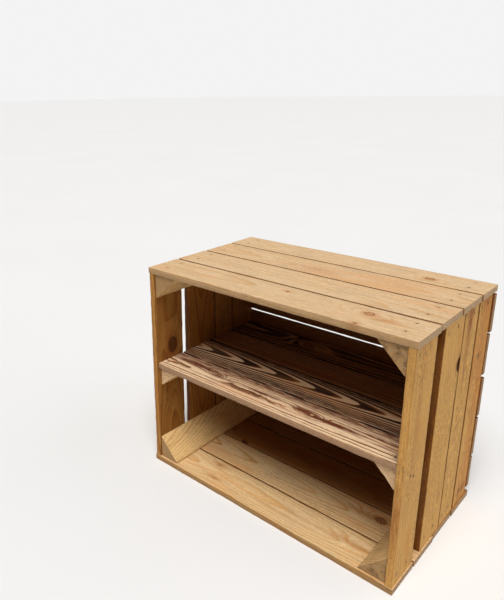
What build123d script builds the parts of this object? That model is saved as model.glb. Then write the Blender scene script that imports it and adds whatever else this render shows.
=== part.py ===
from build123d import *
import os

os.makedirs("parts", exist_ok=True)

# A wooden fruit crate standing on one long side, so that its floor is now the back
# and its open mouth faces -Y. A shelf at half height makes it a small bookcase.
# +X is along the 500 mm side, +Z is up, and the origin is at the middle of the
# footprint, on the ground. All lengths are millimetres.
LENGTH = 500.0
DEPTH = 300.0
HEIGHT = 400.0

# Every board is sawn to one thickness. The end panels stand a little inside the ends
# of the other boards, which were nailed on last and cut without much care.
BOARD = 11.0
ARRIS = 0.6
END_FACE = 247.5
FRONT = -DEPTH / 2
REAR = DEPTH / 2
INNER_END = END_FACE - BOARD
INNER_BACK = REAR - BOARD

# Top and bottom boards run along X. Each row: front edge in Y, width, left end, right end.
TOP_BOARDS = [
    (FRONT, 74.0, -249.0, 249.5),
    (-72.5, 75.0, -249.5, 248.5),
    (5.5, 74.0, -248.5, 249.0),
    (82.5, 67.0, -249.5, 250.0),
]
BOTTOM_BOARDS = [
    (FRONT, 71.0, -249.5, 249.0),
    (-77.0, 72.5, -248.5, 249.5),
    (-2.0, 72.5, -249.5, 248.5),
    (73.5, 75.5, -249.0, 249.5),
]

# End boards stand upright between the top and the bottom. Each row: front edge in Y, width.
# The wide space after the first board is the crate's handle.
RIGHT_END_BOARDS = [(-149.5, 69.0), (-54.0, 73.0), (21.0, 56.0), (81.5, 57.5)]
LEFT_END_BOARDS = [(-149.5, 71.0), (-62.0, 77.0), (17.5, 54.0), (73.0, 66.0)]

# Back boards run along X behind the end panels, with a draught slit between each.
# Each row: lower edge in Z, width, left end, right end.
BACK_BOARDS = [
    (21.0, 61.0, -249.0, 248.5),
    (86.5, 73.0, -250.0, 249.0),
    (164.0, 71.8, -248.5, 249.5),
    (242.0, 73.0, -249.5, 248.5),
    (319.0, 66.0, -249.0, 250.0),
]

# The shelf is four boards resting on two triangular strips.
SHELF_TOP = 213.0
SHELF_LENGTH = 472.0
SHELF_BOARDS = [(-146.0, 64.5), (-79.5, 75.5), (-2.0, 69.0), (69.0, 68.0)]

# Corner posts are triangular: one leg lies under the long boards, one against the end
# panel. Their thin edges are sawn blunt. Legs are (along X, along Z).
POST_FRONT = -146.0
POST_LEGS = {
    "top_left": (48.0, 46.0),
    "top_right": (45.0, 44.0),
    "bottom_left": (43.0, 44.0),
    "bottom_right": (45.0, 45.0),
}
STRIP_FRONT = -140.0
STRIP_LEGS = {"left": (45.0, 37.0), "right": (38.0, 37.0)}
BLUNT = 2.0

# A knot has dropped out of the edge of the second board of the right end, at (Y, Z).
KNOT_BOARD = 2
KNOT_HOLE = (16.0, 310.0)
KNOT_RADII = (5.0, 12.5)

# Round wire nails, heads driven flush, two in each board end.
HEAD_RADIUS = 2.5
HEAD_THICKNESS = 0.9
SHANK_RADIUS = 1.1
NAIL_LENGTH = 24.0
NAIL_POINT = 3.0
LONG_NAIL_X = 222.0
LONG_NAIL_AT = (0.30, 0.78)
LONG_NAIL_WANDER = (-0.5, -2.5, 0.0, -1.5)
END_NAIL_AT = (0.18, 0.66)
END_NAIL_TOP = 376.5
END_NAIL_BOTTOM = 30.0
END_NAIL_WANDER = (0.5, -1.0, 1.5, -0.5)
BACK_NAIL_AT = (0.26, 0.74)
STRIP_NAILS = [(-125.0, 190.0), (-113.0, 183.0), (99.0, 190.0)]

# Wire staples hold each shelf board down on the strips.
STAPLE_X = 226.0
STAPLE_CROWN = 8.0
STAPLE_LEG = 22.0
STAPLE_RADIUS = 0.6
STAPLE_TURN = 95.0
STAPLE_FROM_FRONT = 17.0


def save(builder, name):
    """Name a finished piece and write it to its own STEP file."""
    builder.part.label = name
    export_step(builder.part, f"parts/{name}.step")


def cut_board(low, high, grain, cutters):
    """A board between two opposite corners, long edges eased, pierced by its fasteners."""
    centre = ((low[0] + high[0]) / 2, (low[1] + high[1]) / 2)
    with BuildPart() as board:
        with BuildSketch(Plane.XY.offset(low[2])):
            with Locations(centre):
                Rectangle(high[0] - low[0], high[1] - low[1])
        extrude(amount=high[2] - low[2])
        chamfer(board.edges().filter_by(grain), ARRIS)
        for cutter in cutters:
            add(cutter.part, mode=Mode.SUBTRACT)
    return board


def corner_outline(corner, leg_x, leg_z):
    """The (X, Z) corners of a right-angled triangle whose two sharp tips are sawn blunt."""
    x, z = corner
    blunt_x = BLUNT if leg_x > 0 else -BLUNT
    blunt_z = BLUNT if leg_z > 0 else -BLUNT
    return [
        (x, z),
        (x + leg_x, z),
        (x + leg_x, z + blunt_z),
        (x + blunt_x, z + leg_z),
        (x, z + leg_z),
    ]


def triangular_rail(front, corner, leg_x, leg_z, cutters):
    """A triangular rail from its front end back to the back boards."""
    front_plane = Plane(origin=(0, front, 0), x_dir=(1, 0, 0), z_dir=(0, -1, 0))
    with BuildPart() as rail:
        with BuildSketch(front_plane):
            with BuildLine():
                Polyline(*corner_outline(corner, leg_x, leg_z), close=True)
            make_face()
        extrude(amount=-(INNER_BACK - front))
        for cutter in cutters:
            add(cutter.part, mode=Mode.SUBTRACT)
    return rail


def nail_group(planes):
    """The same nail driven at each of the planes, whose Z points out of the wood."""
    profile = [
        (0, 0),
        (HEAD_RADIUS, 0),
        (HEAD_RADIUS, -HEAD_THICKNESS),
        (SHANK_RADIUS, -HEAD_THICKNESS),
        (SHANK_RADIUS, NAIL_POINT - NAIL_LENGTH),
        (0, -NAIL_LENGTH),
    ]
    with BuildPart() as nail:
        with BuildSketch(Plane.XZ):
            with BuildLine():
                Polyline(*profile, close=True)
            make_face()
        revolve(axis=Axis.Z)
    with BuildPart() as group:
        with Locations(*planes):
            add(nail.part)
    return group


def long_panel_nails(boards, height, outward):
    """Two nails in each end of each top or bottom board, into the corner posts."""
    planes = []
    for (front, width, _, _), wander in zip(boards, LONG_NAIL_WANDER):
        for share in LONG_NAIL_AT:
            for side in (-1, 1):
                spot = (side * (LONG_NAIL_X + wander), front + share * width, height)
                planes.append(Plane(origin=spot, z_dir=(0, 0, outward)))
    return nail_group(planes)


def end_panel_nails(boards, side):
    """Two nails in each end of each end board, and the nails that hold the shelf strip."""
    spots = []
    for (front, width), wander in zip(boards, END_NAIL_WANDER):
        for share in END_NAIL_AT:
            spots.append((front + share * width, END_NAIL_TOP + wander))
            spots.append((front + share * width, END_NAIL_BOTTOM - wander))
    spots += STRIP_NAILS
    planes = [Plane(origin=(side * END_FACE, y, z), z_dir=(side, 0, 0)) for y, z in spots]
    return nail_group(planes)


def back_panel_nails():
    """Two nails in each end of each back board, into the rear edges of the end panels."""
    planes = []
    nail_x = END_FACE - BOARD / 2
    for bottom, width, _, _ in BACK_BOARDS:
        for share in BACK_NAIL_AT:
            for side in (-1, 1):
                spot = (side * nail_x, REAR, bottom + share * width)
                planes.append(Plane(origin=spot, z_dir=(0, 1, 0)))
    return nail_group(planes)


def staple_group():
    """One skewed wire staple in each end of each shelf board, its crown sunk flush."""
    half = STAPLE_CROWN / 2
    route = [(-half, -STAPLE_LEG), (-half, 0), (half, 0), (half, -STAPLE_LEG)]
    with BuildPart() as staple:
        with BuildLine(Plane.XZ) as wire:
            FilletPolyline(*route, radius=1.5)
        with BuildSketch(Plane.XY.offset(-STAPLE_LEG)):
            with Locations((-half, 0)):
                Circle(STAPLE_RADIUS)
        sweep(path=wire.line)
    spots = []
    for front, _ in SHELF_BOARDS:
        for side in (-1, 1):
            spot = (side * STAPLE_X, front + STAPLE_FROM_FRONT, SHELF_TOP - STAPLE_RADIUS)
            spots.append(Location(spot, (0, 0, side * STAPLE_TURN)))
    with BuildPart() as group:
        with Locations(*spots):
            add(staple.part)
    return group


# Fasteners come first, because each board and rail is pierced by them.
top_nails = long_panel_nails(TOP_BOARDS, HEIGHT, 1)
bottom_nails = long_panel_nails(BOTTOM_BOARDS, 0, -1)
right_end_nails = end_panel_nails(RIGHT_END_BOARDS, 1)
left_end_nails = end_panel_nails(LEFT_END_BOARDS, -1)
back_nails = back_panel_nails()
shelf_staples = staple_group()
save(top_nails, "top_nails")
save(bottom_nails, "bottom_nails")
save(right_end_nails, "right_end_nails")
save(left_end_nails, "left_end_nails")
save(back_nails, "back_nails")
save(shelf_staples, "shelf_staples")

# Long panels
for number, (front, width, left, right) in enumerate(TOP_BOARDS, start=1):
    low = (left, front, HEIGHT - BOARD)
    high = (right, front + width, HEIGHT)
    top_board = cut_board(low, high, Axis.X, [top_nails])
    save(top_board, f"top_board_{number}")
for number, (front, width, left, right) in enumerate(BOTTOM_BOARDS, start=1):
    low = (left, front, 0)
    high = (right, front + width, BOARD)
    bottom_board = cut_board(low, high, Axis.X, [bottom_nails])
    save(bottom_board, f"bottom_board_{number}")

# End panels
for number, (front, width) in enumerate(LEFT_END_BOARDS, start=1):
    low = (-END_FACE, front, BOARD)
    high = (-INNER_END, front + width, HEIGHT - BOARD)
    left_end_board = cut_board(low, high, Axis.Z, [left_end_nails, back_nails])
    save(left_end_board, f"left_end_board_{number}")
with BuildPart() as knot_plug:
    with BuildSketch(Plane.YZ.offset(INNER_END)):
        with Locations(KNOT_HOLE):
            Ellipse(*KNOT_RADII)
    extrude(amount=BOARD)
for number, (front, width) in enumerate(RIGHT_END_BOARDS, start=1):
    low = (INNER_END, front, BOARD)
    high = (END_FACE, front + width, HEIGHT - BOARD)
    cutters = [right_end_nails, back_nails]
    if number == KNOT_BOARD:
        cutters.append(knot_plug)
    right_end_board = cut_board(low, high, Axis.Z, cutters)
    save(right_end_board, f"right_end_board_{number}")

# Back
for number, (bottom, width, left, right) in enumerate(BACK_BOARDS, start=1):
    low = (left, INNER_BACK, bottom)
    high = (right, REAR, bottom + width)
    back_board = cut_board(low, high, Axis.X, [back_nails])
    save(back_board, f"back_board_{number}")

# Shelf
for number, (front, width) in enumerate(SHELF_BOARDS, start=1):
    low = (-SHELF_LENGTH / 2, front, SHELF_TOP - BOARD)
    high = (SHELF_LENGTH / 2, front + width, SHELF_TOP)
    shelf_board = cut_board(low, high, Axis.X, [shelf_staples])
    save(shelf_board, f"shelf_board_{number}")

# Corner posts and shelf strips
for place, (leg_x, leg_z) in POST_LEGS.items():
    end = 1 if place.endswith("right") else -1
    level = 1 if place.startswith("top") else -1
    corner = (end * INNER_END, HEIGHT - BOARD if level > 0 else BOARD)
    long_nails = top_nails if level > 0 else bottom_nails
    end_nails = right_end_nails if end > 0 else left_end_nails
    corner_post = triangular_rail(
        POST_FRONT, corner, -end * leg_x, -level * leg_z, [long_nails, end_nails]
    )
    save(corner_post, f"corner_post_{place}")
for place, (leg_x, leg_z) in STRIP_LEGS.items():
    end = 1 if place == "right" else -1
    corner = (end * INNER_END, SHELF_TOP - BOARD)
    end_nails = right_end_nails if end > 0 else left_end_nails
    shelf_strip = triangular_rail(
        STRIP_FRONT, corner, -end * leg_x, -leg_z, [shelf_staples, end_nails]
    )
    save(shelf_strip, f"shelf_strip_{place}")
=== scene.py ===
import math
import random
import bpy
from mathutils import Matrix, Vector, noise


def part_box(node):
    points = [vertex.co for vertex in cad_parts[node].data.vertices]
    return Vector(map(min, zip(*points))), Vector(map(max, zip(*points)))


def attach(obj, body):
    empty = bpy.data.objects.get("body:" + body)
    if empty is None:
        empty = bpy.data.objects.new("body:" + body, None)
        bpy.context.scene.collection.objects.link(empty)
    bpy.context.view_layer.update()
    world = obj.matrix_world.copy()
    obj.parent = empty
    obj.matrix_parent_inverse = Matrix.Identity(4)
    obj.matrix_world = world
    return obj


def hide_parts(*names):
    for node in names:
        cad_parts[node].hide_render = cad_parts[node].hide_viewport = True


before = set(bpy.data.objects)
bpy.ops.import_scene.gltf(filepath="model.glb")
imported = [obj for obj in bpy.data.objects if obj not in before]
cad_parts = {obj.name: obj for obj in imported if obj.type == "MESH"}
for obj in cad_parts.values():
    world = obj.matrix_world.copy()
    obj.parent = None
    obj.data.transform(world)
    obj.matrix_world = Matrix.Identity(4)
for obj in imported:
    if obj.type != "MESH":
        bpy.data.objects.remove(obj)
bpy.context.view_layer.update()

# Lengths are in millimetres unless it says otherwise. MM turns them into Blender's metres.
MM = 0.001

# Camera: where it stands, the point it looks at, its roll in degrees, its lens and sensor,
# and how far its frame is shifted, as a share of the sensor.
CAMERA_PLACE = (505.1, -816.1, 698.8)
CAMERA_TARGET = (-179.2, -89.2, 383.1)
CAMERA_ROLL = 0.85
CAMERA_LENS = 34.88
CAMERA_SENSOR = 36.0
CAMERA_SHIFT = (0.087, -0.040)

# Sawn timber's mesh: how far its corners are eased, and how far apart its points stand along
# the grain, round the outline and in from each end. CAP_SHARES are the rings of a sawn end,
# as shares of its rim, and SHARP_EDGE is the angle, in degrees, from which an edge is sharp.
ARRIS = 0.7
STATION_STEP = 6.0
OUTLINE_STEP = 4.5
END_EASE = 0.35
END_STATIONS = (0.0, END_EASE, 1.2, 3.0)
CAP_SHARES = (0.90, 0.62, 0.32)
SHARP_EDGE = 50

# Its surface: how deep and how long the slow waves are, the wear of its edges, and the saw's
# marks on boards, posts, strips and sawn ends. WAVE_TOP is taken off the waves and marks, so
# that the wood hardly ever stands out of its CAD solid.
SLOW_WAVE, SLOW_WAVE_SIZE = 0.35, 55
EDGE_WEAR, EDGE_WEAR_SIZE = 0.9, 16
SAW_MARK_SIZE = 5.0
BOARD_ROUGHNESS = 0.08
POST_ROUGHNESS = 0.45
STRIP_ROUGHNESS = 1.1
END_ROUGHNESS, END_ROUGHNESS_SIZE = 0.30, 4.5
WAVE_TOP = 0.6

# How wide the blunt thin edges of the posts and strips are
BLUNT = 2.0

# Nails: the radius and height of each ring, from the top of the head to the point. What is
# above the neck leans, by a slope of up to NAIL_TILT each way. OUT_OF_ROUND is how uneven a
# nail is, as a share of its radius.
NAIL_PROFILE = [(0.0, 0.0), (0.9, -0.02), (1.8, -0.08), (2.35, -0.20), (2.5, -0.45),
                (2.45, -1.10), (1.1, -1.30), (1.1, -20.5), (0.0, -23.5)]
NAIL_SIDES = 14
NAIL_NECK = -1.5
NAIL_TILT = 0.05
OUT_OF_ROUND = 0.05

# Staples: the length of the crown and of the legs, the radius of the wire, how far the crown
# is turned from the shelf's length (degrees), and how deep the middle of its wire sits
STAPLE_CROWN = 8.0
STAPLE_LEG = 20.0
STAPLE_RADIUS = 0.65
STAPLE_SIDES = 8
STAPLE_TURN = 95.0
STAPLE_SUNK = 0.25

# How deep the relief of wood and of wire is, and the shader's level for how they shine
WOOD_RELIEF, WOOD_SHEEN = 0.35, 0.25
STEEL_RELIEF, STEEL_SHEEN = 0.12, 0.2

# The axes of each panel's boards: grain, across, through, and the way the outside faces.
PANELS = {
    "top_board": (0, 1, 2, 1),
    "bottom_board": (0, 1, 2, -1),
    "back_board": (0, 2, 1, 1),
    "left_end_board": (2, 1, 0, -1),
    "right_end_board": (2, 1, 0, 1),
    "shelf_board": (0, 1, 2, 1),
    "corner_post": (1, 0, 2, 1),
    "shelf_strip": (1, 0, 2, 1),
}

# Which way each group of nails points out of the wood: axis and sign.
NAIL_GROUPS = {
    "top_nails": (2, 1),
    "bottom_nails": (2, -1),
    "left_end_nails": (0, -1),
    "right_end_nails": (0, 1),
    "back_nails": (1, 1),
}


def srgb(red, green, blue):
    """A colour as seen on screen, 0 to 255, turned into the linear colour shaders want."""
    linear = []
    for value in (red, green, blue):
        value = value / 255
        linear.append(value / 12.92 if value <= 0.04045 else ((value + 0.055) / 1.055) ** 2.4)
    return (*linear, 1.0)


# Colours of the timber: earlywood, the glow where a ring turns dark, latewood, the warm
# tint that drifts through it, the grey that weather and handling leave, knots, stains, and
# sawn end grain. edge, seam and inside say how much of each colour is left on the edges of
# a panel's first board, of the others, and on the faces inside the crate: on the edges
# under dirt and painted shade in the gaps, inside as painted shade of the crate's interior.
# contrast is how plain the rings are and relief how far they stand up, core how dark the
# knots are inside, dirt_and_shade how dark the dirt and painted shade along a board's edges,
# torn how far the saw pulled the fibres up, lightening and darkening the colour as painted
# highlight and shade, and saw how plain its marks are.
PINE = {
    "early": srgb(232, 197, 154),
    "glow": srgb(222, 176, 122),
    "late": srgb(190, 136, 84),
    "warm": srgb(222, 162, 108),
    "grey": srgb(190, 162, 128),
    "knot": srgb(112, 68, 36),
    "stain": srgb(186, 116, 58),
    "end": srgb(154, 126, 88),
    "edge": (0.58, 0.52, 0.43),
    "seam": (0.30, 0.20, 0.11),
    "inside": (0.60, 0.46, 0.32),
    "contrast": 0.45,
    "core": 0.30,
    "dirt_and_shade": 0.25,
    "relief": 0.5,
    "torn": 0.40,
    "saw": 0.14,
}
# The end boards: a golden-brown pine, made darker partly as painted shade of the crate's sides.
END_PINE = {
    **PINE,
    "early": srgb(214, 163, 88),
    "glow": srgb(194, 140, 66),
    "late": srgb(148, 96, 42),
    "warm": srgb(192, 122, 50),
    "grey": srgb(158, 118, 64),
    "knot": srgb(76, 42, 18),
    "stain": srgb(146, 82, 28),
    "end": srgb(146, 112, 70),
    "edge": (0.70, 0.60, 0.50),
    "seam": (0.27, 0.16, 0.045),
    "inside": (0.55, 0.41, 0.26),
    "contrast": 0.34,
    "core": 0.80,
    "dirt_and_shade": 0.60,
    "torn": 1.0,
    "saw": 0.22,
}
FLOOR_PINE = {
    **PINE,
    "early": srgb(234, 198, 146),
    "glow": srgb(224, 174, 110),
    "late": srgb(178, 120, 62),
    "warm": srgb(220, 150, 82),
    "stain": srgb(178, 118, 54),
    "end": srgb(98, 80, 56),
    "edge": (0.48, 0.42, 0.32),
    "inside": (0.50, 0.34, 0.20),
    "contrast": 0.62,
    "core": 0.80,
    "dirt_and_shade": 0.45,
}
# The back boards: a darker brown, as painted shade of the crate's interior.
BACK_PINE = {
    **PINE,
    "early": srgb(200, 152, 96),
    "glow": srgb(184, 132, 76),
    "late": srgb(146, 98, 50),
    "warm": srgb(172, 110, 54),
    "grey": srgb(146, 116, 80),
    "inside": (0.40, 0.26, 0.16),
}
POST = {
    "early": srgb(240, 200, 138),
    "glow": srgb(224, 174, 108),
    "late": srgb(184, 132, 72),
    "warm": srgb(218, 158, 86),
    "grey": srgb(168, 122, 68),
    "stain": srgb(96, 66, 38),
    "end": srgb(150, 128, 96),
    "seam": (0.9, 0.85, 0.8),
    "inside": (1.0, 1.0, 1.0),
    "contrast": 0.18,
    "dirt_and_shade": 0.75,
    "relief": 0.5,
    "torn": 0.5,
    "saw": 0.75,
}
STRIP = {
    **POST,
    "grey": srgb(204, 168, 128),
    "stain": srgb(170, 122, 82),
    "end": srgb(232, 196, 154),
    "contrast": 0.9,
}
SINGED = {
    "early": srgb(240, 208, 168),
    "glow": srgb(208, 156, 110),
    "late": srgb(104, 62, 38),
    "warm": srgb(204, 150, 106),
    "grey": srgb(164, 130, 106),
    "knot": srgb(82, 42, 24),
    "stain": srgb(104, 52, 28),
    "end": srgb(150, 112, 84),
    "edge": (0.54, 0.45, 0.40),
    "seam": (0.3, 0.2, 0.15),
    "inside": (0.5, 0.4, 0.3),
    "contrast": 0.95,
    "core": 0.15,
    "dirt_and_shade": 0.4,
    "relief": 1.0,
    "torn": 0.25,
    "saw": 0.02,
}
SCORCHED = {
    **SINGED,
    "early": srgb(238, 202, 160),
    "glow": srgb(150, 92, 50),
    "late": srgb(44, 28, 20),
    "warm": srgb(180, 120, 70),
    "grey": srgb(120, 88, 68),
    "stain": srgb(88, 60, 42),
    "contrast": 1.0,
    "torn": 0.1,
}
# The shelf's rear boards: a burnt look, their whole colour darkened as painted shade.
BURNT_AND_SHADED = {
    **SINGED,
    "early": srgb(152, 108, 74),
    "glow": srgb(110, 70, 42),
    "late": srgb(44, 26, 16),
    "warm": srgb(128, 78, 46),
    "grey": srgb(100, 76, 58),
    "knot": srgb(34, 20, 14),
    "stain": srgb(150, 104, 66),
    "contrast": 0.95,
    "torn": 0.1,
}

# The bruise that a nail leaves in the wood round it
RUST = srgb(112, 72, 38)

# Wire, its rust, and the tint where nails and staples are worn
WIRE = srgb(64, 42, 26)
WIRE_RUST = srgb(100, 62, 34)
WORN_NAIL = srgb(150, 112, 74)
WORN_STAPLE = srgb(52, 38, 30)

# What is left of the colour along a board's edges, darkened by dirt and by painted shade in the
# seams
SEAM_DIRT_AND_SHADE = (0.50, 0.38, 0.25, 1.0)

# Which palette each board has, by the start of its name, with a material slot's name beside it.
LOOKS = {
    "top_board": (PINE, "pine_board"),
    "bottom_board": (FLOOR_PINE, "pine_board"),
    "back_board": (BACK_PINE, "pine_board"),
    "left_end_board": (END_PINE, "pine_board"),
    "right_end_board": (END_PINE, "pine_board"),
    "shelf_board_1": (SINGED, "scorched_pine"),
    "shelf_board_2": (SCORCHED, "scorched_pine"),
    "shelf_board_3": (BURNT_AND_SHADED, "scorched_pine"),
    "shelf_board_4": (BURNT_AND_SHADED, "scorched_pine"),
    "corner_post": (POST, "sawn_post"),
    "shelf_strip": (STRIP, "sawn_post"),
}

# How latewood darkens through one year's ring: (place in the ring, darkness).
SOFT_RING = ((0.0, 0.0), (0.42, 0.10), (0.78, 0.55), (0.93, 1.0), (1.0, 0.0))
FINE_RING = ((0.0, 0.0), (0.58, 0.06), (0.70, 0.50), (0.78, 1.0), (0.90, 1.0), (0.96, 0.0))
BURNT_RING = ((0.0, 1.0), (0.34, 1.0), (0.52, 0.62), (0.64, 0.0), (0.96, 0.0), (1.0, 0.9))

# How each board lay in its log, in millimetres from the board's own middle. pith is where
# the log's centre runs (across, through), taper how fast the rings climb along the board,
# ring their spacing, start where in a ring they begin, wander how far they stray, profile
# and contrast how they darken. A knot is (along, across, radius), and a bend sends the rings
# round a knot that lies deeper. A stain is (along, across, half length, half width, depth),
# and torn gives the same without the depth where the saw pulled fibres up. tint is how much
# warm colour drifts through, and saw, lean and pitch are how plain, how slanted and how far
# apart the saw's marks are. edge is what is left of the colour on the narrow faces, under dirt
# and painted shade in the gaps, aged how much painted shade darkens the inside face,
# soiled how dirty the sawn ends are. board_log gives whatever isn't listed.
LOGS = {
    "top_board_1": {"pith": (8, -40), "taper": 0.020, "ring": 4.2, "tint": 0.25,
                    "knots": [(158, 11, 4.6), (159, -33, 1.4), (16, 16, 0.9)],
                    "stains": [(185, 2, 30, 8, 0.6)]},
    "top_board_2": {"pith": (-30, -60), "taper": 0.012, "ring": 5.0, "tint": 0.2},
    "top_board_3": {"pith": (-6, -36), "taper": 0.034, "ring": 5.4, "tint": 0.35,
                    "stains": [(-14, -8, 45, 13, 0.6)]},
    "top_board_4": {"pith": (-4, -50), "taper": 0.016, "ring": 4.6, "tint": 0.0,
                    "knots": [(157, -9, 4.8)]},
    "bottom_board_1": {"pith": (4, 34), "taper": 0.026, "ring": 3.6, "tint": 0.3, "aged": 0.0,
                       "wander": 0.6, "bends": [(-128, 24, 7), (-118, -14, 7), (165, 10, 5)],
                       "stains": [(-128, 22, 16, 6, 1.1), (-112, -14, 18, 5, 1.1),
                                  (165, 8, 40, 5, 1.1), (100, 2, 50, 3, 0.7),
                                  (20, -10, 60, 3, 0.7)]},
    "bottom_board_2": {"pith": (2, 34), "taper": 0.030, "ring": 3.4, "aged": 0.08,
                       "wander": 0.6, "profile": FINE_RING, "knots": [(171, 13, 6.8)],
                       "stains": [(150, 10, 46, 7, 0.9)]},
    "bottom_board_3": {"pith": (-12, 38), "taper": 0.030, "ring": 3.6, "tint": 0.45,
                       "knots": [(-143, -34, 3.6)]},
    "right_end_board_1": {"pith": (-40, -30), "taper": 0.010, "ring": 4.4, "tint": 0.2,
                          "edge": (0.90, 0.86, 0.86),
                          "stains": [(100, -6, 120, 7, 0.5), (-75, -36, 55, 4, 0.9)],
                          "torn": [(90, 31, 110, 7), (-60, 20, 30, 12)]},
    "right_end_board_2": {"pith": (22, -34), "taper": -0.036, "ring": 4.6, "tint": 0.18,
                          "knots": [(108, 31, 5.5)],
                          "torn": [(20, -8, 90, 26), (-130, 12, 50, 20)]},
    "right_end_board_3": {"pith": (-2, -22), "taper": -0.050, "ring": 4.2, "tint": 0.2,
                          "stains": [(190, -4, 72, 11, 1.3), (96, -6, 46, 5, 0.6)],
                          # Painted shade: its narrow faces, the walls of the knot hole and of the
                          # gap, nearly black.
                          "edge": (0.10, 0.05, 0.02),
                          "torn": [(185, -2, 80, 20), (20, 4, 110, 22)]},
    "right_end_board_4": {"pith": (20, -50), "taper": 0.012, "ring": 3.8, "tint": 0.75,
                          "knots": [(90, -4, 2.0), (-166, -8, 2.6)],
                          "stains": [(185, 0, 22, 26, 0.6), (-164, 10, 7, 9, 1.2),
                                     (40, 12, 60, 4, 0.4)],
                          "torn": [(60, 0, 120, 30)]},
    "left_end_board_1": {"pith": (6, 30), "taper": 0.048, "ring": 4.4, "tint": 0.45,
                         "knots": [(38, 7, 10.5)], "contrast": 0.75, "aged": 0.85,
                         "bends": [(-70, -10, 6)]},
    "left_end_board_2": {"pith": (-2, 26), "taper": -0.055, "ring": 4.6, "tint": 0.50,
                         "contrast": 0.75},
    "left_end_board_3": {"tint": 0.5, "contrast": 0.7},
    "left_end_board_4": {"tint": 0.5, "contrast": 0.7},
    "shelf_board_1": {"pith": (-8, -70), "taper": 0.003, "ring": 1.45, "wander": 0.35,
                      "profile": FINE_RING, "knots": [(80, 2, 3.4), (-118, 6, 2.4)],
                      "stains": [(112, 0, 42, 4.2, 3.0), (64, 5, 22, 6, 1.8),
                                 (-20, 5, 34, 3.5, 1.8), (-170, 12, 60, 6, 2.0),
                                 (-110, 2, 40, 3, 1.2), (-60, -12, 150, 2, 0.9),
                                 (0, 26, 900, 8, 1.0), (190, 9, 60, 2.5, 1.4),
                                 (205, -6, 50, 2, 1.0)]},
    "shelf_board_2": {"pith": (7, -27), "taper": 0.042, "ring": 3.36, "start": 0.63,
                      "wander": 0.12, "profile": BURNT_RING,
                      "stains": [(0, -28, 900, 10, 1.0), (0, 33, 900, 11, 0.9)]},
    "shelf_board_3": {"pith": (-48, -60), "taper": 0.006, "ring": 4.4, "wander": 0.5,
                      "profile": FINE_RING,
                      "stains": [(-165, 16, 6, 3.0, 4.0), (60, -10, 200, 5, 0.8)]},
    "shelf_board_4": {"pith": (10, -40), "taper": 0.020, "ring": 5.0, "wander": 0.5,
                      "profile": BURNT_RING, "knots": [(-68, 5, 8.0)],
                      "stains": [(-35, 0, 30, 12, 1.4), (60, 10, 150, 4, 0.8),
                                 (60, -14, 160, 5, 0.8)]},
    "corner_post_top_right": {"soiled": 0.95, "lean": 0.25, "pitch": 5.2},
    "corner_post_bottom_right": {"soiled": 0.95, "lean": 0.20, "pitch": 5.0},
    "corner_post_top_left": {"soiled": 0.2, "lean": -0.20, "pitch": 5.2},
    "corner_post_bottom_left": {"pith": (-110, -40), "taper": 0.10, "ring": 2.6,
                                "wander": 0.3, "profile": FINE_RING, "contrast": 0.50,
                                "soiled": 0.35, "saw": 0.10},
}


# ---------------------------------------------------------------- shader building


class Graph:
    """Short words for building one material's node tree."""

    def __init__(self, name):
        self.material = bpy.data.materials.new(name)
        self.material.use_nodes = True
        self.tree = self.material.node_tree
        self.tree.nodes.clear()

    def add(self, kind, inputs=(), **settings):
        node = self.tree.nodes.new("ShaderNode" + kind)
        for key, value in settings.items():
            setattr(node, key, value)
        for socket, value in dict(inputs).items():
            if isinstance(value, bpy.types.NodeSocket):
                self.tree.links.new(value, node.inputs[socket])
            else:
                node.inputs[socket].default_value = value
        return node

    def math(self, operation, *values, clamp=False):
        node = self.add("Math", enumerate(values), operation=operation, use_clamp=clamp)
        return node.outputs[0]

    def times(self, first, second):
        return self.math("MULTIPLY", first, second)

    def plus_times(self, first, factor, second):
        """first * factor + second"""
        return self.math("MULTIPLY_ADD", first, factor, second)

    def scale(self, vector, factors):
        return self.add("VectorMath", {0: vector, 1: factors}, operation="MULTIPLY").outputs[0]

    def distance(self, vector, point):
        return self.add("VectorMath", {0: vector, 1: point}, operation="DISTANCE").outputs["Value"]

    def split(self, vector):
        return self.add("SeparateXYZ", {0: vector}).outputs

    def noise(self, vector, detail=2.0, roughness=0.5):
        inputs = {"Vector": vector, "Scale": 1.0, "Detail": detail, "Roughness": roughness}
        return self.add("TexNoise", inputs).outputs

    def smooth(self, value, low, high):
        inputs = {"Value": value, "From Min": low, "From Max": high}
        return self.add("MapRange", inputs, interpolation_type="SMOOTHSTEP").outputs[0]

    def bell(self, value, width):
        """1 where value is 0, falling off smoothly over the width."""
        share = self.math("DIVIDE", value, width)
        return self.math("EXPONENT", self.times(self.times(share, share), -1.0))

    def curve(self, value, stops):
        """A grey ramp through (position, level) stops."""
        ramp = self.add("ValToRGB", {"Fac": value})
        elements = ramp.color_ramp.elements
        while len(elements) < len(stops):
            elements.new(0.5)
        for element, (position, level) in zip(elements, stops):
            element.position = position
            element.color = (level, level, level, 1.0)
        return ramp.outputs[0]

    def mix(self, factor, first, second, blend="MIX"):
        inputs = {0: factor, 6: first, 7: second}
        return self.add("Mix", inputs, data_type="RGBA", blend_type=blend).outputs[2]

    def shade(self, colour, roughness, height, depth, **uniform):
        """The closing shader: a rough surface with relief. depth is in millimetres."""
        bump = self.add("Bump", {"Height": height, "Strength": 0.8, "Distance": depth * MM})
        inputs = {"Base Color": colour, "Roughness": roughness, "Normal": bump.outputs[0]}
        inputs.update(uniform)
        surface = self.add("BsdfPrincipled", inputs)
        output = self.add("OutputMaterial", {"Surface": surface.outputs[0]})
        output.is_active_output = True
        return self.material


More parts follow.
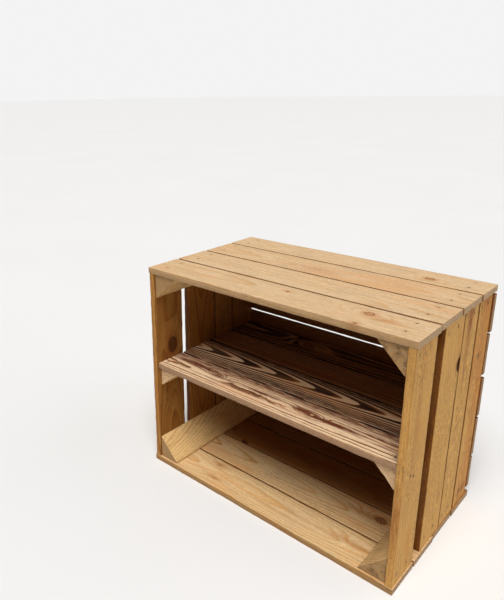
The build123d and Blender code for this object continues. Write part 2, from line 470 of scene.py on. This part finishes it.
class Wood(Graph):
    """The node tree of one piece of timber, with places measured along its grain."""

    def __init__(self, name, look, log, axes, centre):
        super().__init__(name)
        self.look = look
        self.log = log
        self.axes = axes
        source = self.add("TexCoord").outputs["Object"]
        factors = self.place(1 / MM, 1 / MM, axes[3] / MM)
        offset = tuple(-value * factor for value, factor in zip(centre, factors))
        mapping = {"Vector": source, "Location": offset, "Scale": factors}
        self.spot = self.add("Mapping", mapping).outputs[0]
        shift = self.add("VectorMath", {0: self.spot, 1: log["seed"]}, operation="ADD")
        self.shifted = shift.outputs[0]
        parts = self.split(self.spot)
        self.along, self.across, self.through = (parts[axis] for axis in axes[:3])
        self.normal = self.split(self.add("NewGeometry").outputs["Normal"])
        self.ripple = self.grain_noise(0.05, 0.22, 3.0, 0.6)
        self.fibre = self.grain_noise(0.035, 0.9, 3.0, 0.65)

    def place(self, along, across, through):
        """A vector with these parts along the timber's own axes."""
        vector = [0.0, 0.0, 0.0]
        for axis, value in zip(self.axes, (along, across, through)):
            vector[axis] = value
        return tuple(vector)

    def grain_noise(self, along, across, detail=2.0, roughness=0.5):
        """Noise with this many bumps per millimetre along the grain and across it."""
        stretched = self.scale(self.shifted, self.place(along, across, across))
        return self.noise(stretched, detail, roughness)["Fac"]

    def even_noise(self, bumps, detail=2.0, roughness=0.5):
        """Noise with this many bumps per millimetre in every direction."""
        return self.noise(self.scale(self.shifted, (bumps, bumps, bumps)), detail, roughness)["Fac"]

    def ragged(self, value, reach):
        """The value moved by a ripple along the grain, up or down by as much as half the reach."""
        return self.plus_times(self.ripple, reach, self.math("SUBTRACT", value, reach / 2))

    def reach(self, along, across, stretch):
        """How far a point of the board's face is from a place, along the grain counting less."""
        flat = self.scale(self.spot, self.place(stretch, 1.0, 0.0))
        return self.distance(flat, self.place(stretch * along, across, 0.0))


def ring_radius(wood):
    """How far each point is from the pith, which wanders along the log."""
    log = wood.log
    slow = wood.scale(wood.shifted, wood.place(0.006, 0, 0))
    drift = wood.split(wood.noise(slow, 1.0)["Color"])
    stray = log["wander"]
    side = wood.plus_times(drift[0], 16.0 * stray, log["pith"][0] - 8.0 * stray)
    side = wood.math("SUBTRACT", wood.across, side)
    deep = wood.plus_times(drift[1], 8.0 * stray, log["pith"][1] - 4.0 * stray)
    deep = wood.math("SUBTRACT", wood.through, deep)
    flat = wood.plus_times(side, side, wood.times(deep, deep))
    radius = wood.plus_times(wood.along, log["taper"], wood.math("SQRT", flat))
    radius = wood.plus_times(wood.grain_noise(0.006, 0.030), 4.0 * stray, radius)
    return wood.plus_times(wood.ripple, 0.3 + 0.8 * stray, radius)


def knot_rings(wood, radius):
    """Bends the rings round the knots. Also gives each point's depth outside the nearest."""
    depth = None
    for along, across, size in wood.log["bends"]:
        swirl = wood.bell(wood.reach(along, across, 0.34), 1.5 * size + 3.0)
        radius = wood.plus_times(swirl, 0.6 * size + 1.0, radius)
    for along, across, size in wood.log["knots"]:
        swirl = wood.bell(wood.reach(along, across, 0.34), 1.5 * size + 3.0)
        radius = wood.plus_times(swirl, 1.6 * size + 1.5, radius)
        gap = wood.math("SUBTRACT", wood.reach(along, across, 0.70), size)
        depth = gap if depth is None else wood.math("MINIMUM", depth, gap)
    return radius, depth


def latewood(wood, radius):
    """Where the dark part of each year's ring lies, from 0 to 1."""
    log = wood.log
    index = wood.plus_times(radius, 1 / log["ring"], log["start"])
    inputs = {"W": wood.times(index, 0.45), "Scale": 1.0, "Detail": 1.0}
    year = wood.add("TexNoise", inputs, noise_dimensions="1D").outputs["Fac"]
    index = wood.plus_times(year, 1.6 * log["wander"], index)
    late = wood.curve(wood.math("FRACT", index), log["profile"])
    strength = wood.plus_times(year, 0.8, log["contrast"] - 0.4)
    patchy = wood.plus_times(wood.grain_noise(0.012, 0.10, 2.0, 0.6), 1.0, 0.5)
    return wood.math("MULTIPLY", late, wood.times(strength, patchy), clamp=True)


def ring_colour(wood, late):
    """Earlywood turns through a warm glow into latewood."""
    colour = wood.mix(wood.smooth(late, 0.0, 0.5), wood.look["early"], wood.look["glow"])
    return wood.mix(wood.smooth(late, 0.35, 1.0), colour, wood.look["late"])


def weathered(wood, colour):
    """Fibres, the warm tint that drifts through the wood, and the grey of handling."""
    look, tint = wood.look, wood.log["tint"]
    streak = wood.curve(wood.fibre, ((0.25, 0.76), (0.50, 0.98), (0.75, 1.10)))
    colour = wood.mix(1.0, colour, streak, "MULTIPLY")
    pores = wood.grain_noise(0.16, 0.75, 2.0, 0.7)
    speck = wood.curve(pores, ((0.30, 0.76), (0.50, 0.96), (0.70, 1.0)))
    colour = wood.mix(1.0, colour, speck, "MULTIPLY")
    clouds = wood.smooth(wood.grain_noise(0.006, 0.035), 0.62 - 0.4 * tint, 0.80 - 0.2 * tint)
    colour = wood.mix(wood.times(clouds, 0.30 + 0.5 * tint), colour, look["warm"])
    handled = wood.smooth(wood.grain_noise(0.012, 0.028, 4.0, 0.6), 0.50, 0.74)
    return wood.mix(wood.times(handled, 0.35), colour, look["grey"])


def stained(wood, colour):
    """Resin and bark stains, broken up by the grain."""
    streaks = wood.smooth(wood.grain_noise(0.05, 0.32, 3.0, 0.65), 0.34, 0.62)
    for along, across, long, wide, depth in wood.log["stains"]:
        stretch = wide / long
        share = wood.bell(wood.reach(along, across, stretch), wide)
        share = wood.times(share, wood.plus_times(streaks, 0.60, 0.40))
        share = wood.math("MULTIPLY", share, depth, clamp=True)
        colour = wood.mix(share, colour, wood.look["stain"])
    return colour


def knotted(wood, colour, depth):
    """The knots themselves: fine rings, a broken bark line and a stained surround."""
    look = wood.look
    edge = wood.ragged(depth, 3.0)
    rings = wood.math("SINE", wood.times(edge, 3.1))
    core = wood.math("MULTIPLY_ADD", rings, 0.22, look["core"], clamp=True)
    core = wood.mix(core, look["warm"], look["knot"])
    colour = wood.mix(wood.times(wood.smooth(edge, 9.0, 0.0), 0.45), colour, look["stain"])
    colour = wood.mix(wood.smooth(edge, 0.6, -0.6), colour, core)
    bark = wood.times(wood.bell(edge, 0.9), wood.smooth(wood.fibre, 0.28, 0.50))
    return wood.mix(bark, colour, look["knot"])


def saw_marks(wood):
    """Marks across the grain, a little askew, which come and go."""
    lean = wood.plus_times(wood.across, wood.log["lean"], wood.along)
    lean = wood.plus_times(wood.through, wood.log["lean"], lean)
    bowed = wood.plus_times(wood.ripple, 5.0, lean)
    mark = wood.math("SINE", wood.times(bowed, 2 * math.pi / wood.log["pitch"]))
    uneven = wood.grain_noise(0.30, 0.02, 2.0, 0.7)
    mark = wood.plus_times(uneven, 3.0, wood.math("SUBTRACT", mark, 1.5))
    return wood.times(mark, wood.smooth(wood.even_noise(0.02), 0.36, 0.62))


def torn_fibres(wood):
    """How far the saw pulled the fibres up or tore them out, from -1 to 1, in patches."""
    mapping = {"Vector": wood.shifted, "Rotation": wood.place(0, 0, 0.35),
               "Scale": wood.place(0.13, 0.30, 0.30)}
    slant = wood.add("Mapping", mapping).outputs[0]
    fleck = wood.math("MULTIPLY_ADD", wood.noise(slant, 4.0, 0.75)["Fac"], 6.0, -3.0)
    fleck = wood.math("MAXIMUM", wood.math("MINIMUM", fleck, 1.0), -1.0)
    patch = wood.smooth(wood.grain_noise(0.011, 0.024, 1.0), 0.42, 0.66)
    for along, across, long, wide in wood.log["torn"]:
        area = wood.bell(wood.reach(along, across, wide / long), wide)
        patch = wood.math("MAXIMUM", patch, area)
    return wood.times(wood.times(fleck, patch), wood.look["torn"])


def end_grain(wood, colour, late, crumbs):
    """Colours the sawn ends. Also gives where they are, from 0 to 1."""
    look = wood.look
    cut_end = wood.smooth(wood.math("ABSOLUTE", wood.normal[wood.axes[0]]), 0.55, 0.80)
    raw = wood.mix(wood.smooth(crumbs, 0.36, 0.62), look["end"], look["grey"])
    raw = wood.mix(wood.times(late, 0.60), raw, look["late"])
    dirt = wood.even_noise(0.09, 3.0, 0.6)
    dirt = wood.smooth(dirt, 0.64 - 0.22 * wood.log["soiled"], 0.74)
    raw = wood.mix(wood.times(dirt, wood.log["soiled"]), raw, look["stain"])
    return wood.mix(wood.times(cut_end, 0.94), colour, raw), cut_end


def dirt_and_painted_shade(wood, colour):
    """Darkens board edges with dirt and painted seam shade, and inside faces with painted shade."""
    look, log = wood.look, wood.log
    margin = wood.math("SUBTRACT", log["half"], wood.math("ABSOLUTE", wood.across))
    margin = wood.plus_times(wood.ripple, -2.4, margin)
    narrow = wood.smooth(wood.math("ABSOLUTE", wood.normal[wood.axes[1]]), 0.72, 0.95)
    # Dirt and painted shade: a dark line along each long edge of a face, where the seams are.
    dirt_and_shade = wood.times(wood.smooth(margin, 1.6, -1.2), look["dirt_and_shade"])
    dirt_and_shade = wood.times(dirt_and_shade, wood.math("SUBTRACT", 1.0, narrow))
    colour = wood.mix(dirt_and_shade, colour, wood.mix(1.0, colour, SEAM_DIRT_AND_SHADE, "MULTIPLY"))
    # Dirt and painted shade: the narrow faces darker, most in the gaps between boards.
    colour = wood.mix(narrow, colour, wood.mix(1.0, colour, (*log["edge"], 1.0), "MULTIPLY"))
    # Painted shade: faces that look into the crate take the darker inside colour.
    facing = wood.times(wood.normal[wood.axes[2]], -wood.axes[3])
    inward = wood.times(wood.smooth(facing, 0.55, 0.90), log["aged"])
    return wood.mix(inward, colour, wood.mix(1.0, colour, (*look["inside"], 1.0), "MULTIPLY"))


def nail_marks(wood, nails):
    """How far each point is from the nearest nail, along the grain counting half."""
    reach = None
    stretched = wood.scale(wood.spot, wood.place(0.5, 1.0, 0.5))
    for along, across in nails:
        middle = wood.place(0.5 * along, across, 0.5 * wood.log["face"])
        one = wood.distance(stretched, middle)
        reach = one if reach is None else wood.math("MINIMUM", reach, one)
    return reach


def timber_material(name, look, log, axes, centre, nails):
    """Solid wood grown as rings round a pith, with knots, fibres, saw marks and stains."""
    wood = Wood(name, look, log, axes, centre)
    radius, knot_depth = knot_rings(wood, ring_radius(wood))
    late = latewood(wood, radius)
    colour = stained(wood, weathered(wood, ring_colour(wood, late)))
    if knot_depth is not None:
        colour = knotted(wood, colour, knot_depth)
    saw = saw_marks(wood)
    cut = wood.times(wood.smooth(saw, 0.2, -0.8), log["saw"])
    colour = wood.mix(cut, colour, look["grey"])
    torn = torn_fibres(wood)
    # Painted highlight and shade: the raised and torn fibres lighten and darken the colour.
    colour = wood.mix(1.0, colour, wood.plus_times(torn, 0.38, 1.03), "MULTIPLY")
    crumbs = wood.even_noise(0.40, 4.0, 0.7)
    colour, cut_end = end_grain(wood, colour, late, crumbs)
    colour = dirt_and_painted_shade(wood, colour)

    height = wood.plus_times(wood.fibre, 0.45, wood.times(saw, 0.05 + 0.75 * log["saw"]))
    height = wood.plus_times(late, look["relief"] * 0.5, height)
    height = wood.plus_times(wood.times(crumbs, cut_end), 2.2, height)
    height = wood.plus_times(torn, 0.9, height)
    reach = nail_marks(wood, nails)
    if reach is not None:
        bruise = wood.times(wood.bell(wood.ragged(reach, 3.0), 2.2), 0.45)
        colour = wood.mix(bruise, colour, RUST)
        height = wood.plus_times(wood.bell(reach, 2.6), -0.9, height)
    roughness = wood.plus_times(late, -0.10, wood.plus_times(wood.fibre, 0.18, 0.66))
    sheen = {"Specular IOR Level": WOOD_SHEEN}
    return wood.shade(colour, roughness, height, WOOD_RELIEF, **sheen)


def steel_material(name, worn):
    """Dark wire, dull and a little rusty, with the worn tint in large patches."""
    graph = Graph(name)
    source = graph.add("TexCoord").outputs["Object"]
    spot = graph.scale(source, (1 / MM, 1 / MM, 1 / MM))
    rust = graph.noise(graph.scale(spot, (0.45, 0.45, 0.45)), 3.0, 0.6)["Fac"]
    colour = graph.mix(graph.smooth(rust, 0.40, 0.62), WIRE, WIRE_RUST)
    age = graph.noise(graph.scale(spot, (0.021, 0.017, 0.019)), 1.0)["Fac"]
    colour = graph.mix(graph.smooth(age, 0.46, 0.60), colour, worn)
    grit = graph.noise(graph.scale(spot, (2.2, 2.2, 2.2)), 2.0)["Fac"]
    roughness = graph.math("MULTIPLY_ADD", rust, 0.3, 0.50)
    sheen = {"Specular IOR Level": STEEL_SHEEN}
    return graph.shade(colour, roughness, grit, STEEL_RELIEF, **sheen)


# ---------------------------------------------------------------- timber shapes


def wave(place, seed, size):
    """Smooth noise from -1 to 1 whose bumps are about size millimetres long."""
    return noise.noise(Vector(place) / (size * MM) + seed)


def rounded_outline(corners):
    """A closed outline through these corners, each eased by the arris, split into short runs.
    Each point comes as (place, how much it wears)."""
    points = []
    count = len(corners)
    for number, corner in enumerate(corners):
        before = (corners[number - 1] - corner).normalized()
        after = (corners[(number + 1) % count] - corner).normalized()
        reach = ARRIS * MM
        start = corner + before * reach
        end = corner + after * reach
        points.append((start, 0.5))
        points.append(((start + end) * 0.25 + corner * 0.5, 1.0))
        points.append((end, 0.5))
        far = corners[(number + 1) % count] - after * reach
        steps = max(1, round((far - end).length / (OUTLINE_STEP * MM)))
        for step in range(1, steps):
            points.append((end.lerp(far, step / steps), 0.0))
    return points


def station_places(start, end):
    """Where rings stand along a length, closer together at its two ends."""
    steps = max(2, round((end - start) / (STATION_STEP * MM)))
    middle = [start + (end - start) * step / steps for step in range(1, steps)]
    lead = [gap * MM for gap in END_STATIONS]
    return [start + gap for gap in lead] + middle + [end - gap for gap in reversed(lead)]


def surface_push(spot, seed, rough, worn):
    """How far a point of the timber's surface is pushed out, in millimetres. It is nearly
    always negative, so the timber stays inside the CAD's solid."""
    push = SLOW_WAVE * (wave(spot, seed, SLOW_WAVE_SIZE) - WAVE_TOP)
    push += rough * (wave(spot, seed, SAW_MARK_SIZE) - WAVE_TOP)
    return push - worn * EDGE_WEAR * max(0.15, 0.4 + wave(spot, seed, EDGE_WEAR_SIZE))


def sawn_timber(name, corners, axes, start, end, rough, shape=None):
    """A length of timber with the given cross-section, swept along its grain.
    corners lie in the plane of the across and through axes. rough is the depth of the saw's
    marks in millimetres. shape may move a ring point."""
    seed = Vector((len(name) * 3.1, sum(map(ord, name)) * 0.37, 1.7))
    outline = rounded_outline(corners)
    middle = sum((place for place, _ in outline), Vector((0, 0))) / len(outline)
    places = station_places(start, end)
    vertices = []
    for along in places:
        inset = max(0.0, END_EASE * MM - min(along - start, end - along)) * 1.2
        for flat_place, worn in outline:
            out = (flat_place - middle).normalized()
            spot = (flat_place.x, flat_place.y, along)
            push = surface_push(spot, seed, rough, worn) * MM
            across, through = flat_place + out * (push - inset)
            if shape:
                across, through = shape(across, through, along)
            vertices.append(on_axes(axes, along, across, through))
    sides = len(outline)
    last = (len(places) - 1) * sides
    faces = wall_faces(0, len(places), sides)
    faces += cap_faces(vertices, 0, sides, axes[0], start, seed, False)
    faces += cap_faces(vertices, last, sides, axes[0], end, seed, True)
    return mesh_object(name, vertices, faces)


def on_axes(axes, along, across, through):
    """The point with these places along a timber's grain, across and through axes."""
    point = Vector()
    for axis, value in zip(axes, (along, across, through)):
        point[axis] = value
    return point


def wall_faces(base, rings, sides):
    """Joins rings of points, which follow each other from base on, into a closed wall."""
    faces = []
    for ring in range(rings - 1):
        low = base + ring * sides
        for side in range(sides):
            beside = (side + 1) % sides
            faces.append((low + side, low + beside, low + sides + beside, low + sides + side))
    return faces


def cap_faces(vertices, base, sides, grain, along, seed, far_end):
    """Closes one end with rings that shrink to its middle, roughened along the grain."""
    faces = []
    rim = [vertices[base + side] for side in range(sides)]
    centre = sum(rim, Vector()) / sides
    outer = [base + side for side in range(sides)]
    inward = -1 if far_end else 1
    for share in CAP_SHARES:
        calm = 0.6 if share == CAP_SHARES[0] else 1
        inner = []
        for place in rim:
            spot = centre.lerp(place, share)
            lift = END_ROUGHNESS * MM * wave(spot, seed, END_ROUGHNESS_SIZE) * calm
            spot[grain] = along + inward * abs(lift)
            inner.append(len(vertices))
            vertices.append(spot)
        for side in range(sides):
            beside = (side + 1) % sides
            faces.append((outer[side], inner[side], inner[beside], outer[beside]))
        outer = inner
    hub = len(vertices)
    centre[grain] = along
    vertices.append(centre)
    faces += [(outer[side], hub, outer[(side + 1) % sides]) for side in range(sides)]
    return [tuple(reversed(face)) for face in faces] if far_end else faces


def mesh_object(name, vertices, faces):
    """A smooth-shaded mesh object with its faces turned outwards."""
    mesh = bpy.data.meshes.new(name)
    mesh.from_pydata([tuple(place) for place in vertices], [], faces)
    mesh.update()
    piece = bpy.data.objects.new(name, mesh)
    bpy.context.scene.collection.objects.link(piece)
    if signed_volume(mesh) < 0:
        mesh.flip_normals()
    mesh.polygons.foreach_set("use_smooth", [True] * len(mesh.polygons))
    mesh.set_sharp_from_angle(angle=math.radians(SHARP_EDGE))
    return piece


def signed_volume(mesh):
    """Six times the volume the faces close, negative if they face inwards."""
    total = 0.0
    mesh.calc_loop_triangles()
    for triangle in mesh.loop_triangles:
        a, b, c = (mesh.vertices[number].co for number in triangle.vertices)
        total += a.dot(b.cross(c))
    return total


def box_corners(low, high, axes):
    """The cross-section of a board, as corners in its across and through axes."""
    _, across, through, _ = axes
    return [
        Vector((low[across], low[through])),
        Vector((high[across], low[through])),
        Vector((high[across], high[through])),
        Vector((low[across], high[through])),
    ]


def rail_corners(low, high, right, above):
    """A triangular rail's cross-section: its square corner is on the given side and level,
    and its two thin edges are sawn blunt."""
    blunt = BLUNT * MM
    square = Vector((high[0] if right else low[0], high[2] if above else low[2]))
    far_x = low[0] if right else high[0]
    far_z = low[2] if above else high[2]
    step_x = math.copysign(blunt, far_x - square.x)
    step_z = math.copysign(blunt, far_z - square.y)
    return [
        square,
        Vector((far_x, square.y)),
        Vector((far_x, square.y + step_z)),
        Vector((square.x + step_x, far_z)),
        Vector((square.x, far_z)),
    ]


def waney_edge(low_edge, high_edge):
    """Draws the far edge of a board back round the hole that a lost knot left, and below
    it, where the edge of the log ran out."""
    hole_height, hole_reach = 310.0 * MM, 12.5 * MM
    hole_edge, hole_depth = 16.0 * MM, 5.0 * MM
    wane_top, wane_run, wane_depth = 270.0 * MM, 190.0 * MM, 1.6 * MM

    def shape(across, through, along):
        limit = high_edge
        offset = abs(along - hole_height) / hole_reach
        if offset < 1:
            limit = hole_edge - hole_depth * math.sqrt(1 - offset * offset)
        elif wane_top - wane_run < along < wane_top:
            share = (wane_top - along) / wane_run
            limit = high_edge - wane_depth * min(1.0, 8 * share) * (1 - share)
        share = (limit - low_edge) / (high_edge - low_edge)
        return low_edge + (across - low_edge) * min(1.0, share), through

    return shape


# ---------------------------------------------------------------- fasteners


def fastener_spots(node, axis, sign):
    """The middle of each nail head or staple crown in a CAD node, found from its outermost
    vertices. level is how much lower they may lie, and those less than width apart belong
    to one fastener."""
    level, width = 0.05 * MM, 6 * MM
    places = [vertex.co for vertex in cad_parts[node].data.vertices]
    face = max(place[axis] * sign for place in places)
    groups = []
    for place in places:
        if place[axis] * sign < face - level:
            continue
        for group in groups:
            if (group[0] - place).length < width:
                group.append(place)
                break
        else:
            groups.append([place])
    return [box_middle(group) for group in groups]


def box_middle(places):
    """The middle of the box round some points."""
    low = Vector([min(place[axis] for place in places) for axis in range(3)])
    high = Vector([max(place[axis] for place in places) for axis in range(3)])
    return (low + high) / 2


def nail_object(name, spots, axis, sign, draw):
    """Round wire nails with worn, slightly domed heads, each driven a little askew."""
    outward = Vector([sign if number == axis else 0.0 for number in range(3)])
    turn = outward.to_track_quat("Z", "Y").to_matrix()
    vertices, faces = [], []
    for spot in spots:
        phase = spot.x * 900
        tilt = Vector([draw.uniform(-NAIL_TILT, NAIL_TILT) for _ in range(3)])
        lean = outward.rotation_difference(outward + tilt).to_matrix() @ turn
        top = len(vertices)
        vertices.append(spot + lean @ Vector((0, 0, NAIL_PROFILE[0][1] * MM)))
        for radius, height in NAIL_PROFILE[1:-1]:
            for side in range(NAIL_SIDES):
                angle = 2 * math.pi * side / NAIL_SIDES
                reach = radius * (1 + OUT_OF_ROUND * math.sin(3 * angle + phase))
                ring = Vector((reach * math.cos(angle), reach * math.sin(angle), height)) * MM
                vertices.append(spot + (lean if height > NAIL_NECK else turn) @ ring)
        tip = len(vertices)
        vertices.append(spot + turn @ Vector((0, 0, NAIL_PROFILE[-1][1] * MM)))
        faces += wall_faces(top + 1, len(NAIL_PROFILE) - 2, NAIL_SIDES)
        last = tip - NAIL_SIDES
        for side in range(NAIL_SIDES):
            beside = (side + 1) % NAIL_SIDES
            faces.append((top, top + 1 + beside, top + 1 + side))
            faces.append((tip, last + side, last + beside))
    return mesh_object(name, vertices, faces)


def staple_object(name, spots):
    """Wire staples: each crown lies proud of the scorched wood, its legs go down into it."""
    half = STAPLE_CROWN / 2
    bend = [(-half, -STAPLE_LEG), (-half, -1.0), (-half + 0.35, -0.25), (-half + 1.1, 0.0)]
    bend += [(-x, z) for x, z in reversed(bend)]
    route = [Vector((x, 0, z)) for x, z in bend]
    level = Vector((0, 1, 0))
    vertices, faces = [], []
    for spot, angle in spots:
        turn = Matrix.Rotation(math.radians(angle), 3, "Z")
        base = len(vertices)
        for number, place in enumerate(route):
            before = route[max(0, number - 1)]
            after = route[min(len(route) - 1, number + 1)]
            sideways = (after - before).normalized().cross(level)
            for side in range(STAPLE_SIDES):
                swing = 2 * math.pi * side / STAPLE_SIDES
                ring = sideways * math.cos(swing) + level * math.sin(swing)
                vertices.append(spot + turn @ ((place + ring * STAPLE_RADIUS) * MM))
        faces += wall_faces(base, len(route), STAPLE_SIDES)
        last = len(vertices) - STAPLE_SIDES
        faces.append(tuple(base + side for side in reversed(range(STAPLE_SIDES))))
        faces.append(tuple(last + side for side in range(STAPLE_SIDES)))
    return mesh_object(name, vertices, faces)


# ---------------------------------------------------------------- building the crate


def board_log(node, axes, look):
    """How this board lay in its log: what LOGS says, or a value drawn from its name, or
    the usual."""
    draw = random.Random(node)
    log = {
        "pith": (draw.uniform(-30, 30), -axes[3] * draw.uniform(30, 60)),
        "taper": draw.uniform(-0.035, 0.035),
        "ring": draw.uniform(3.6, 5.2),
        "tint": draw.uniform(0.15, 0.5),
        "lean": draw.uniform(-0.45, 0.45),
        "pitch": draw.uniform(3.8, 6.0),
        "seed": tuple(draw.uniform(0, 900) for _ in range(3)),
        "start": 0.0,
        "wander": 1.0,
        "profile": SOFT_RING,
        "contrast": look["contrast"],
        "saw": look["saw"],
        "knots": [],
        "bends": [],
        "stains": [],
        "torn": [],
        "aged": 1.0,
        "soiled": 0.45,
        "edge": look["edge"] if node.endswith("_1") else look["seam"],
    }
    log.update(LOGS.get(node, {}))
    return log


def node_axes(node):
    """The panel axes of a timber node, from its name."""
    for panel, axes in PANELS.items():
        if node.startswith(panel):
            return axes
    raise ValueError(node)


def nails_in(low, high, axes, centre, fasteners):
    """The fasteners driven through a board, as (along, across) from its centre."""
    grain, across, through, _ = axes
    found = []
    for spot, axis in fasteners:
        inside = all(low[a] - MM < spot[a] < high[a] + MM for a in range(3))
        if inside and axis == through:
            found.append(((spot[grain] - centre[grain]) / MM, (spot[across] - centre[across]) / MM))
    return found


def place_piece(piece, node, material):
    """Gives a piece its material and puts it in place of its CAD node."""
    piece.data.materials.append(material)
    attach(piece, "root")
    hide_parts(node)


def build_timber(node, look, fasteners):
    """Replaces one CAD board, post or strip with sawn timber of the same size."""
    axes = node_axes(node)
    grain, across, through, _ = axes
    low, high = (Vector(corner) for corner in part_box(node))
    centre = (low + high) / 2
    if node.startswith(("corner_post", "shelf_strip")):
        above = not node.startswith("corner_post_bottom")
        corners = rail_corners(low, high, node.endswith("right"), above)
        rough = POST_ROUGHNESS if node.startswith("corner_post") else STRIP_ROUGHNESS
    else:
        corners = box_corners(low, high, axes)
        rough = BOARD_ROUGHNESS
    shape = None
    if node == "right_end_board_2":
        shape = waney_edge(low[1], high[1])
    piece = sawn_timber(node + "_wood", corners, axes, low[grain], high[grain], rough, shape)
    log = board_log(node, axes, look)
    log["face"] = (high[through] - low[through]) / 2 / MM
    log["half"] = (high[across] - low[across]) / 2 / MM
    nails = nails_in(low, high, axes, centre, fasteners)
    material = timber_material(node + "_timber", look, log, axes, centre, nails)
    place_piece(piece, node, material)


def build_nails():
    """Nails in place of the CAD's. Also gives the middle of each head and its axis."""
    steel = steel_material("nail_steel", WORN_NAIL)
    draw = random.Random(11)
    driven = []
    for node, (axis, sign) in NAIL_GROUPS.items():
        spots = fastener_spots(node, axis, sign)
        driven += [(spot, axis) for spot in spots]
        nails = nail_object(node + "_wire", spots, axis, sign, draw)
        place_piece(nails, node, steel)
    return driven


def build_staples():
    """Staples in place of the CAD's. Also gives the top of each leg and its axis."""
    spots, legs = [], []
    for spot in fastener_spots("shelf_staples", 2, 1):
        angle = math.copysign(STAPLE_TURN, spot.x)
        turn = Matrix.Rotation(math.radians(angle), 3, "Z")
        leg = turn @ Vector((STAPLE_CROWN / 2 * MM, 0, 0))
        spots.append((spot - Vector((0, 0, STAPLE_SUNK * MM)), angle))
        legs += [(spot + leg, 2), (spot - leg, 2)]
    staples = staple_object("shelf_staples_wire", spots)
    steel = steel_material("staple_steel", WORN_STAPLE)
    place_piece(staples, "shelf_staples", steel)
    return legs


def build_crate():
    """Every fastener and every piece of timber, in place of its CAD node."""
    fasteners = build_nails() + build_staples()
    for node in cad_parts:
        for start, (look, slot) in LOOKS.items():
            if node.startswith(start):
                build_timber(node, look, fasteners)


# ---------------------------------------------------------------- studio


def build_floor():
    """A wide pale floor, plain but for a trace of unevenness. Its size is in metres."""
    size = 60.0
    mesh = bpy.data.meshes.new("floor")
    corners = [(-size, -size, 0), (size, -size, 0), (size, size, 0), (-size, size, 0)]
    mesh.from_pydata(corners, [], [(0, 1, 2, 3)])
    floor = bpy.data.objects.new("floor", mesh)
    bpy.context.scene.collection.objects.link(floor)
    graph = Graph("pale_floor")
    source = graph.add("TexCoord").outputs["Object"]
    mottle = graph.noise(graph.scale(source, (1.5, 1.5, 1.5)), 2.0)["Fac"]
    colour = graph.mix(mottle, srgb(240, 239, 237), srgb(245, 244, 243))
    floor.data.materials.append(graph.shade(colour, 0.85, mottle, 0.05))


def build_light(name, azimuth, elevation, spread, strength):
    """A soft light from far away, like a large studio softbox. azimuth 0 comes from the
    crate's open front and 90 from its right end. spread is how wide it looks, in degrees."""
    data = bpy.data.lights.new(name, "SUN")
    data.angle = math.radians(spread)
    data.energy = strength
    lamp = bpy.data.objects.new(name, data)
    bpy.context.scene.collection.objects.link(lamp)
    turn, rise = math.radians(azimuth), math.radians(elevation)
    level = math.cos(rise)
    place = Vector((math.sin(turn) * level, -math.cos(turn) * level, math.sin(rise)))
    lamp.location = place * 3
    lamp.rotation_euler = place.to_track_quat("Z", "Y").to_euler()


def build_world(backdrop, ambient):
    """A plain pale backdrop to look at, and a dimmer even light from all round."""
    world = bpy.data.worlds.new("studio")
    world.use_nodes = True
    tree = world.node_tree
    tree.nodes.clear()
    path = tree.nodes.new("ShaderNodeLightPath")
    mix = tree.nodes.new("ShaderNodeMixShader")
    output = tree.nodes.new("ShaderNodeOutputWorld")
    tree.links.new(path.outputs["Is Camera Ray"], mix.inputs[0])
    for socket, strength in ((1, ambient), (2, backdrop)):
        shader = tree.nodes.new("ShaderNodeBackground")
        shader.inputs["Strength"].default_value = strength
        shader.inputs["Color"].default_value = (1.0, 1.0, 1.0, 1.0)
        tree.links.new(shader.outputs[0], mix.inputs[socket])
    tree.links.new(mix.outputs[0], output.inputs["Surface"])
    bpy.context.scene.world = world


def build_camera():
    """The camera at the photograph's place and angle."""
    data = bpy.data.cameras.new("camera")
    data.lens = CAMERA_LENS
    data.sensor_width = CAMERA_SENSOR
    data.shift_x, data.shift_y = CAMERA_SHIFT
    camera = bpy.data.objects.new("camera", data)
    bpy.context.scene.collection.objects.link(camera)
    place = Vector(CAMERA_PLACE) * MM
    aim = (Vector(CAMERA_TARGET) * MM - place).to_track_quat("-Z", "Y").to_matrix()
    roll = Matrix.Rotation(math.radians(-CAMERA_ROLL), 3, "Z")
    camera.matrix_world = Matrix.Translation(place) @ (aim @ roll).to_4x4()
    bpy.context.scene.camera = camera


build_crate()
build_floor()
build_world(backdrop=0.90, ambient=0.10)
build_light("key", azimuth=25, elevation=63, spread=36, strength=3.0)
build_light("fill", azimuth=120, elevation=35, spread=60, strength=0.5)
build_camera()
bpy.context.scene.view_settings.view_transform = "Standard"
